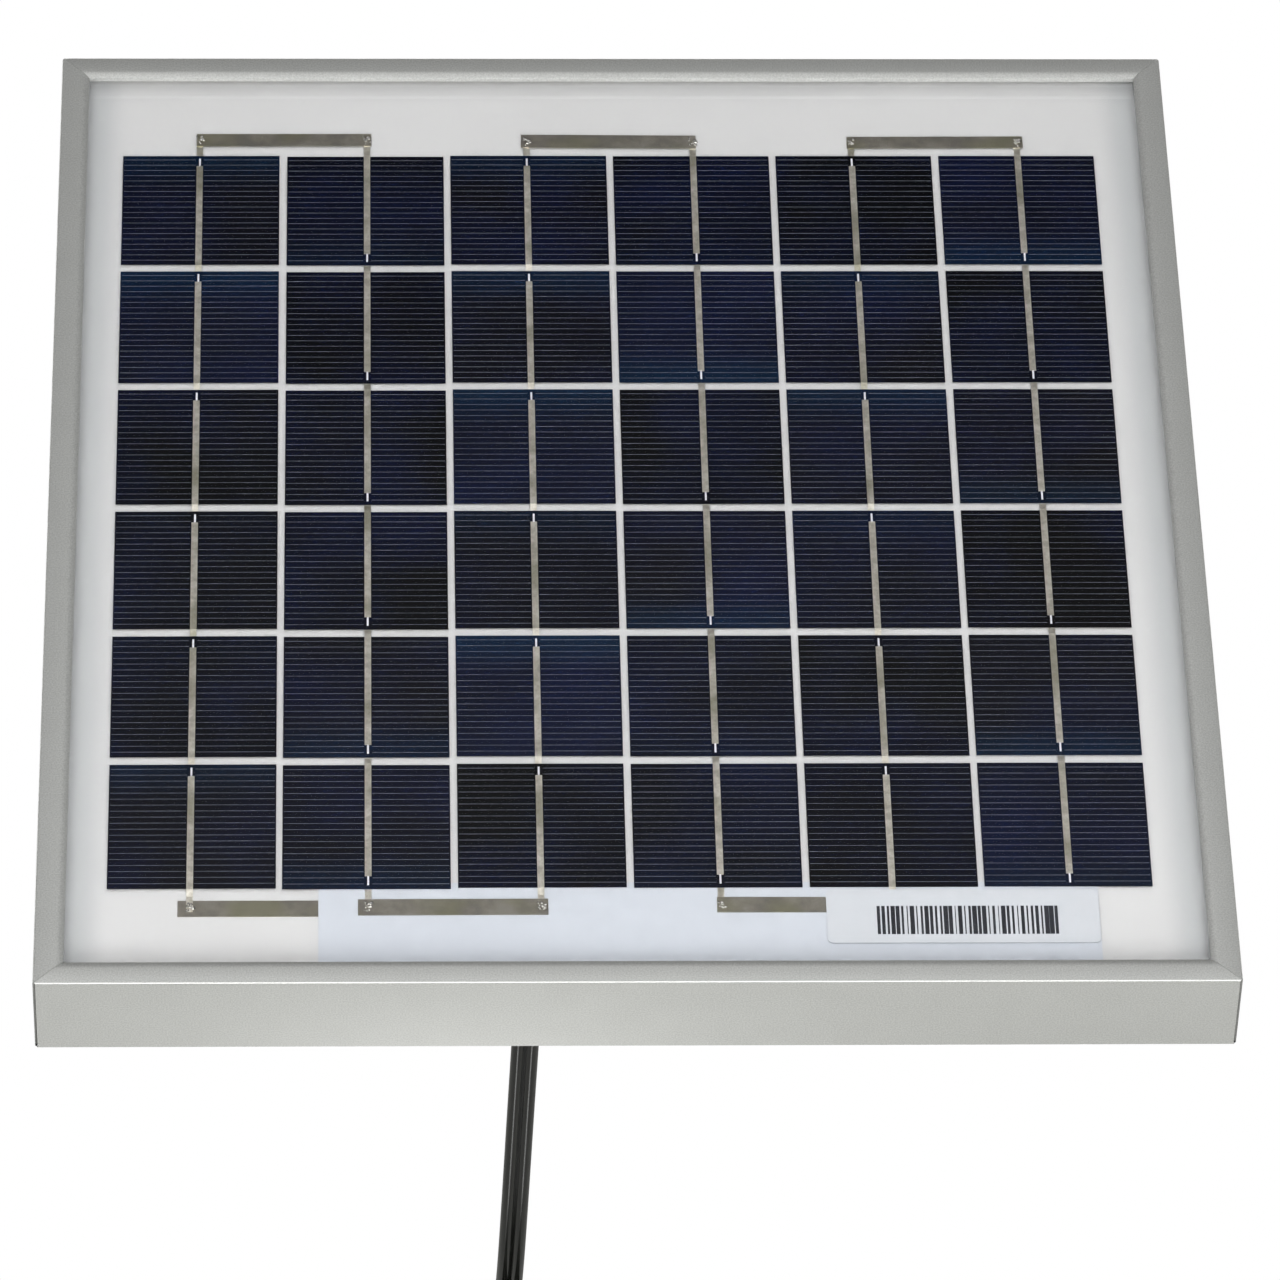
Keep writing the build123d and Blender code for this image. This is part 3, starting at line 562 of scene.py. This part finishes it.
def grid_tree():
    """Screen-printed fingers either side of the ribbon on every cell."""
    vectors = ("Left Size", "Left Centre", "Right Size", "Right Centre", "First Finger", "Finger Step",
               "Turn")
    inputs = {label: "NodeSocketVector" for label in vectors}
    tree, given = new_growth("printed_grid", {**inputs, "Finger Count": "NodeSocketInt"})
    finger = add(tree, "GeometryNodeJoinGeometry")
    for part in ("Left", "Right"):
        cube = add(tree, "GeometryNodeMeshCube", {"Size": given[part + " Size"]})
        bar = add(tree, "GeometryNodeTransform",
                  {"Geometry": cube.outputs[0], "Translation": given[part + " Centre"]})
        tree.links.new(bar.outputs[0], finger.inputs[0])
    line = add(tree, "GeometryNodeMeshLine",
               {"Count": given["Finger Count"], "Start Location": given["First Finger"],
                "Offset": given["Finger Step"]})
    fingers = add(tree, "GeometryNodeInstanceOnPoints",
                  {"Points": line.outputs[0], "Instance": finger.outputs[0]})
    turn = add(tree, "FunctionNodeEulerToRotation", {0: given["Turn"]})
    cells = add(tree, "GeometryNodeInstanceOnPoints",
                {"Points": given["Geometry"], "Instance": fingers.outputs[0], "Rotation": turn.outputs[0]})
    close_growth(tree, cells.outputs[0], FINISH["silver_print"])
    return tree


def block_tree(material):
    """A block of one size on every point."""
    tree, given = new_growth("blocks", {"Size": "NodeSocketVector"})
    cube = add(tree, "GeometryNodeMeshCube", {"Size": given["Size"]})
    row = add(tree, "GeometryNodeInstanceOnPoints",
              {"Points": given["Geometry"], "Instance": cube.outputs[0]})
    close_growth(tree, row.outputs[0], material)
    return tree


def cell_middles(n):
    """The middle of every cell of string n, counted from 0, in millimetres on the cells' plane."""
    turn = Matrix.Rotation(math.radians(STRING_SLANT[n]), 3, "Z")
    middle = Vector((ARRAY_X + (n - 2.5) * PITCH_X, ARRAY_Y + STRING_SHIFT[n], CELL_TOP))
    return [middle + turn @ Vector((0, (i - 2.5) * PITCH_Y, 0)) for i in range(6)]


def make_printed_grids():
    """Fingers of every cell, a little wider than they are printed so that they show."""
    tree = grid_tree()
    count, pitch, width, height = 20, 1.5, 0.09, 0.02
    margin, clear = 0.25, 0.8       # from the cell's edge, and from the ribbon's middle
    for n in range(6):
        ribbon, edge = RIBBON_SHIFT[n], CELL_W / 2 - margin
        left, right = ribbon - clear + edge, edge - ribbon - clear
        rise = Vector((0, 0, height / 2))
        grow(f"string_{n + 1}_grid", tree, [mm(*(place + rise)) for place in cell_middles(n)], {
            "Left Size": mm(left, width, height), "Left Centre": mm(-edge + left / 2, 0, 0),
            "Right Size": mm(right, width, height), "Right Centre": mm(edge - right / 2, 0, 0),
            "First Finger": mm(0, -(count - 1) / 2 * pitch, 0), "Finger Step": mm(0, pitch, 0),
            "Turn": (0.0, 0.0, math.radians(STRING_SLANT[n])), "Finger Count": count,
        }, "silicon_cell")


def make_bare_tips():
    """The end of each printed busbar that its ribbon leaves bare."""
    width, length, height, inset = 0.36, 2.3, 0.03, 0.8
    tips = []
    for n in range(6):
        side = 1 if n % 2 == 0 else -1
        offset = Vector((RIBBON_SHIFT[n], side * (CELL_D / 2 - inset - length / 2), height / 2))
        tips += [mm(*(place + offset)) for place in cell_middles(n)]
    grow("busbar_tips", block_tree(FINISH["silver_bare"]), tips, {"Size": mm(width, length, height)},
         "silicon_cell")


make_bare_tips()
make_printed_grids()


def solder_tree():
    """A cluster of small solder domes round each joint."""
    tree, given = new_growth("solder_joint", {
        "Domes": "NodeSocketInt", "Spread": "NodeSocketVector", "Smallest": "NodeSocketVector",
        "Largest": "NodeSocketVector", "Seed": "NodeSocketInt"})
    copies = add(tree, "GeometryNodeDuplicateElements",
                 {"Geometry": given["Geometry"], "Amount": given["Domes"]}, domain="POINT")
    low = add(tree, "ShaderNodeVectorMath", {0: given["Spread"], "Scale": -1.0}, operation="SCALE")
    offset = add(tree, "FunctionNodeRandomValue",
                 {0: low.outputs[0], 1: given["Spread"], "Seed": given["Seed"]}, data_type="FLOAT_VECTOR")
    moved = add(tree, "GeometryNodeSetPosition", {"Geometry": copies.outputs[0], "Offset": offset.outputs[0]})
    size = add(tree, "FunctionNodeRandomValue",
               {0: given["Smallest"], 1: given["Largest"], "Seed": given["Seed"]}, data_type="FLOAT_VECTOR")
    dome = add(tree, "GeometryNodeMeshUVSphere", {"Segments": 10, "Rings": 6, "Radius": 1.0})
    round_dome = add(tree, "GeometryNodeSetShadeSmooth", {"Geometry": dome.outputs[0]})
    domes = add(tree, "GeometryNodeInstanceOnPoints",
                {"Points": moved.outputs[0], "Instance": round_dome.outputs[0], "Scale": size.outputs[0]})
    close_growth(tree, domes.outputs[0], FINISH["solder"])
    return tree


def ribbon_x(n, y):
    """Where string n's ribbon stands at y, n counted from 0."""
    x = ARRAY_X + (n - 2.5) * PITCH_X + RIBBON_SHIFT[n]
    return x - math.tan(math.radians(STRING_SLANT[n])) * (y - ARRAY_Y)


def make_solder():
    """Solder at the ends of the cross ribbons. The joint of string 5 with its link lies under the label."""
    bus_z, output_drop = BUS_TOP + 0.01, 0.4    # the first front joint is on the lower output ribbon
    joints = [mm(ribbon_x(n, y), y, bus_z) for n, y in enumerate(TOP_BUS_Y)]
    joints += [mm(ribbon_x(n, y), y, bus_z - (output_drop if n == 0 else 0.0))
               for n, y in enumerate(LINK_Y)]
    grow("cross_ribbon_solder", solder_tree(), joints, {
        "Domes": 12, "Spread": mm(0.75, 1.15, 0.01), "Smallest": mm(0.14, 0.12, 0.1),
        "Largest": mm(0.42, 0.34, 0.16), "Seed": 4}, "tinned_bus")


make_solder()


def bars_tree():
    """A row of upright bars of uneven width."""
    tree, given = new_growth("uneven_bars", {
        "Count": "NodeSocketInt", "Step": "NodeSocketVector", "Thinnest": "NodeSocketVector",
        "Widest": "NodeSocketVector", "Seed": "NodeSocketInt"})
    line = add(tree, "GeometryNodeMeshLine", {"Count": given["Count"], "Offset": given["Step"]})
    width = add(tree, "FunctionNodeRandomValue",
                {0: given["Thinnest"], 1: given["Widest"], "Seed": given["Seed"]}, data_type="FLOAT_VECTOR")
    cube = add(tree, "GeometryNodeMeshCube", {"Size": (1.0, 1.0, 1.0)})
    row = add(tree, "GeometryNodeInstanceOnPoints",
              {"Points": line.outputs[0], "Instance": cube.outputs[0], "Scale": width.outputs[0]})
    rows = add(tree, "GeometryNodeInstanceOnPoints",
               {"Points": given["Geometry"], "Instance": row.outputs[0]})
    close_growth(tree, rows.outputs[0], FINISH["label_ink"])
    return tree


def make_label_bars():
    """Bars of no meaning, in the label's middle."""
    first, last, low, high, thick = 44.9, 77.9, -108.2, -101.3, 0.02
    count = 38
    grow("label_bars", bars_tree(), [mm(first, (low + high) / 2, LABEL_TOP + thick / 2)], {
        "Count": count, "Step": mm((last - first) / (count - 1), 0, 0),
        "Thinnest": mm(0.16, high - low, thick), "Widest": mm(0.9, high - low, thick), "Seed": 11,
    }, "label_film")


make_label_bars()


# ---- lead ----
# The lead's hanging part as (y, z), from the bush down to where the coil begins
LEAD_ROUTE = (
    (-93.5, 5.7), (-97.6, 5.7), (-101.1, 2.2), (-102.4, -3.0), (-102.2, -12.0), (-101.6, -27.0),
    (-101.0, -48.0), (-100.9, -72.0), (-100.0, -94.0), (-95.0, -112.0), (-87.5, -124.0),
)
TAIL_ROUTE = ((-84.3, -146.5), (-84.9, -156.0), (-84.9, -165.0))
TURNS, PER_TURN = 3, 18


def coil_lane(angle):
    """(across, out) of the strand at an angle in degrees: it changes lane where the next lane is free."""
    stops = (
        (0, -1, 1), (140, -1, 1), (180, -1, -1), (460, -1, -1), (500, 1, -1),
        (780, 1, -1), (820, 1, 1), (1080, 1, 1),
    )
    for (a0, x0, r0), (a1, x1, r1) in zip(stops, stops[1:]):
        if angle <= a1:
            t = (angle - a0) / (a1 - a0)
            return LANE_X * (x0 + (x1 - x0) * t), LANE_R * (r0 + (r1 - r0) * t)
    return LANE_X, LANE_R


def lead_points():
    """Control points of the whole lead in metres."""
    points = [mm(BOX_X + LEAN * (z - LEAD_Z), y, z) for y, z in LEAD_ROUTE]
    step = 360 / PER_TURN
    outward = 8 / (6 + 2 * math.cos(math.radians(step)))    # the spline runs inside its points
    for i in range(TURNS * PER_TURN + 1):
        across, out = coil_lane(i * step)
        angle, radius = math.radians(i * step), (COIL_R + out) * outward
        points.append(mm(COIL_X + across, COIL_Y + radius * math.cos(angle),
                         COIL_Z - radius * math.sin(angle)))
    return points + [mm(COIL_X + LANE_X, y, z) for y, z in TAIL_ROUTE]


def spline_path(points):
    """The smooth line of a NURBS spline with the given control points."""
    curve = bpy.data.curves.new("lead_line", "CURVE")
    curve.dimensions, curve.resolution_u = "3D", 8
    spline = curve.splines.new("NURBS")
    spline.points.add(len(points) - 1)
    for point, place in zip(spline.points, points):
        point.co = (*place, 1.0)
    spline.order_u = 3
    spline.use_endpoint_u = True
    holder = bpy.data.objects.new("lead_line", curve)
    bpy.context.scene.collection.objects.link(holder)
    line = evaluated_mesh(holder)
    bpy.data.objects.remove(holder)
    return [vertex.co.copy() for vertex in line.vertices]


def twin_section():
    """Outline of a twin flat lead as (across, out): two round cores with a shallow web between."""
    radius, lobe, web = CORD_T / 2, 144, 0.5    # half angle of each round, and half the web's depth
    right = arc((radius, 0), radius, -lobe, lobe, 16)
    left = arc((-radius, 0), radius, 180 - lobe, 180 + lobe, 16)
    return right + [(0.0, web)] + left + [(0.0, -web)]


def tie_mesh():
    """The strap round the coil with its square head and the cut end that sticks out of it."""
    shape = welded("lead_tie")
    side, back = COIL_X + 6.1, COIL_Y + COIL_R
    head = ((side, back - 2.6, COIL_Z - 3.4), (side + 3.5, back + 2.6, COIL_Z + 3.4))
    cut_end = ((side + 0.5, back + 2.2, COIL_Z - 2.2), (side + 1.6, back + 7.0, COIL_Z + 2.2))
    for low, high in (head, cut_end):
        size, middle = mm(*high) - mm(*low), (mm(*high) + mm(*low)) / 2
        bmesh.ops.create_cube(shape, matrix=Matrix.Translation(middle) @ Matrix.Diagonal((*size, 1.0)))
    return shape


def turned(name, profile, x, y):
    """A turned solid on an upright axis, its outline given as (z, radius) from the top down."""
    shape, segments = bmesh.new(), 48
    angles = [2 * math.pi * i / segments for i in range(segments)]
    rings = [[shape.verts.new(mm(x + radius * math.cos(a), y + radius * math.sin(a), z)) for a in angles]
             for z, radius in profile]
    for ring, following in zip(rings, rings[1:]):
        for i in range(segments):
            j = (i + 1) % segments
            shape.faces.new((ring[i], ring[j], following[j], following[i]))
    shape.faces.new(rings[0])
    shape.faces.new(rings[-1])
    bmesh.ops.recalc_face_normals(shape, faces=shape.faces)
    mesh = bpy.data.meshes.new(name)
    shape.to_mesh(mesh)
    shape.free()
    smooth_by_angle(mesh, 40)
    return mesh


def ribs_tree():
    """Upright ribs round an axis at every point."""
    tree, given = new_growth("ribs_round_axis", {
        "Count": "NodeSocketInt", "Radius": "NodeSocketFloat", "Size": "NodeSocketVector"})
    circle = add(tree, "GeometryNodeMeshCircle", {"Vertices": given["Count"], "Radius": given["Radius"]})
    outward = add(tree, "GeometryNodeInputPosition")
    facing = add(tree, "FunctionNodeAlignRotationToVector", {"Vector": outward.outputs[0]}, axis="X")
    cube = add(tree, "GeometryNodeMeshCube", {"Size": given["Size"]})
    ring = add(tree, "GeometryNodeInstanceOnPoints",
               {"Points": circle.outputs[0], "Instance": cube.outputs[0], "Rotation": facing.outputs[0]})
    rings = add(tree, "GeometryNodeInstanceOnPoints",
                {"Points": given["Geometry"], "Instance": ring.outputs[0]})
    close_growth(tree, rings.outputs[0], FINISH["plug_mould"])
    return tree


def make_plug():
    """The plug's moulding: a boot with bend rings, and a grip with fine ribs."""
    x, y, top = COIL_X + LANE_X, TAIL_ROUTE[-1][0], TAIL_ROUTE[-1][1]
    boot, grip, rings, groove = 9.0, 18.0, 4, 0.5
    outline = [(top, 2.9)]
    for k in range(rings):
        start, taper = 0.3 + 2.1 * k, 3.4 + 0.23 * k
        outline += [(top - start, taper), (top - start - 1.2, taper + 0.1),
                    (top - start - 1.4, taper + 0.1 - groove), (top - start - 1.9, taper + 0.15 - groove)]
    outline += [(top - boot, 4.4), (top - boot - 0.6, 4.8), (top - boot - grip + 0.8, 4.8),
                (top - boot - grip + 0.2, 4.6), (top - boot - grip, 4.2)]
    body = link_piece("plug_moulding", turned("plug_moulding", outline, x, y), "plug_mould")
    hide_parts("plug_body")
    middle = mm(x, y, top - boot - grip / 2)
    ribs = grow("plug_grip_ribs", ribs_tree(), [middle],
                {"Count": 18, "Radius": mm(4.8), "Size": mm(0.5, 0.7, 12.0)}, "plug_mould")
    return [body, ribs]


def make_lead():
    """The lead's section swept along its line, with the tie and the plug on it."""
    path = spline_path(lead_points())
    section = twin_section()
    shape = bmesh.new()
    rings = []
    for i, here in enumerate(path):
        along = (path[min(i + 1, len(path) - 1)] - path[max(i - 1, 0)]).normalized()
        across = (Vector((1, 0, 0)) - along * along.x).normalized()
        out = across.cross(along)
        rings.append([shape.verts.new(here + across * mm(a) + out * mm(b)) for a, b in section])
    for ring, following in zip(rings, rings[1:]):
        for k in range(len(section)):
            m = (k + 1) % len(section)
            shape.faces.new((ring[k], ring[m], following[m], following[k]))
    shape.faces.new(rings[0])
    shape.faces.new(rings[-1])
    bmesh.ops.recalc_face_normals(shape, faces=shape.faces)
    mesh = bpy.data.meshes.new("twin_flat_lead")
    shape.to_mesh(mesh)
    shape.free()
    smooth_by_angle(mesh, 60)
    lead = link_piece("twin_flat_lead", mesh, "lead_pvc")
    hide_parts("lead_tube", "lead_coil", "lead_tail")
    tie = moulded("coil_tie", "lead_tie", tie_mesh(), 0.3)
    make_plug()


make_lead()


# ---- stage, light and camera ----
def make_stage():
    """A pale floor well below the hanging lead, bright to the eye and milder as a bounce."""
    material, tree = blank_material("pale_floor")
    paint = add(tree, "ShaderNodeBsdfDiffuse", {"Color": srgb("#cfcfcb")})
    white = add(tree, "ShaderNodeEmission", {"Color": (1, 1, 1, 1), "Strength": 1.0})
    seen = add(tree, "ShaderNodeLightPath").outputs["Is Camera Ray"]
    mix = add(tree, "ShaderNodeMixShader", {0: seen, 1: paint.outputs[0], 2: white.outputs[0]})
    add(tree, "ShaderNodeOutputMaterial", {"Surface": mix.outputs[0]})
    mesh = bpy.data.meshes.new("floor")
    size, level = 4.0, -0.32
    corners = [(-size, -size, level), (size, -size, level), (size, size, level), (-size, size, level)]
    mesh.from_pydata(corners, [], [(0, 1, 2, 3)])
    mesh.materials.append(material)
    floor = bpy.data.objects.new("floor", mesh)
    bpy.context.scene.collection.objects.link(floor)


def make_world():
    """Surroundings nearly dark low down and soft overhead, and white where they are looked at."""
    world = bpy.data.worlds.new("studio")
    world.use_nodes = True
    tree = world.node_tree
    tree.nodes.clear()
    way = add(tree, "ShaderNodeSeparateXYZ", {0: add(tree, "ShaderNodeTexCoord").outputs["Generated"]})
    glow = add(tree, "ShaderNodeMapRange",
               {"Value": way.outputs[2], "From Min": 0.68, "From Max": 0.77,
                "To Min": 0.012, "To Max": 0.11}, interpolation_type="SMOOTHSTEP")
    dim = add(tree, "ShaderNodeBackground", {"Color": (1, 1, 1, 1), "Strength": glow.outputs[0]})
    white = add(tree, "ShaderNodeBackground", {"Color": (1, 1, 1, 1), "Strength": 1.0})
    seen = add(tree, "ShaderNodeLightPath").outputs["Is Camera Ray"]
    mix = add(tree, "ShaderNodeMixShader", {0: seen, 1: dim.outputs[0], 2: white.outputs[0]})
    add(tree, "ShaderNodeOutputWorld", {"Surface": mix.outputs[0]})
    bpy.context.scene.world = world


def softbox(name, place, target, size, power):
    """A rectangular lamp that shines from place at target."""
    lamp = bpy.data.lights.new(name, "AREA")
    lamp.shape, lamp.size, lamp.size_y, lamp.energy = "RECTANGLE", size[0], size[1], power
    holder = bpy.data.objects.new(name, lamp)
    holder.location = place
    aim = Vector(target) - Vector(place)
    holder.rotation_euler = aim.to_track_quat("-Z", "Y").to_euler()
    holder.visible_camera = False
    bpy.context.scene.collection.objects.link(holder)


def make_lights():
    """Soft lamps above and in front, and low ones that reach the rails without showing in the glass."""
    # a pair of lamps with the sky straight above left dark, so the glass stays clear from the top too
    softbox("overhead_front", (-0.05, -0.58, 1.45), (0, 0, 0), (1.0, 0.5), 10.5)
    softbox("overhead_back", (-0.05, 0.58, 1.45), (0, 0, 0), (1.0, 0.5), 2.3)
    softbox("front_high", (0.05, -1.25, 0.95), (0, 0, 0), (1.1, 0.6), 13.3)
    softbox("front_fill", (0.9, -1.4, -0.15), (0, -0.1, 0), (1.4, 0.3), 2.4)
    softbox("back_fill", (-0.3, 1.4, -0.12), (0, 0.1, 0), (3.0, 0.2), 7)
    softbox("left_fill", (-1.4, 0.2, -0.12), (0, 0, 0), (1.6, 0.2), 5)
    softbox("right_fill", (1.4, 0.2, -0.12), (0, 0, 0), (1.6, 0.2), 5)
    softbox("lead_strip", (-0.03, -0.3, -0.28), (-0.02, -0.1, -0.05), (0.05, 0.1), 0.065)


def make_camera():
    """A long lens, a little left of centre and looking down at about 47 degrees."""
    lens = bpy.data.cameras.new("camera")
    lens.lens, lens.sensor_width, lens.clip_end = 243.98, 36.0, 20.0
    camera = bpy.data.objects.new("camera", lens)
    right = Vector((0.99949861, -0.02253148, 0.0222454))
    up = Vector((0.00141892, 0.7337427, 0.67942596))
    back = Vector((-0.03163087, -0.67905374, 0.73340678))
    axes = Matrix((right, up, back)).transposed().to_4x4()
    camera.matrix_world = Matrix.Translation(mm(-50.01, -1156.21, 1226.19)) @ axes
    bpy.context.scene.collection.objects.link(camera)
    bpy.context.scene.camera = camera


make_stage()
make_world()
make_lights()
make_camera()
bpy.context.scene.view_settings.view_transform = "Standard"
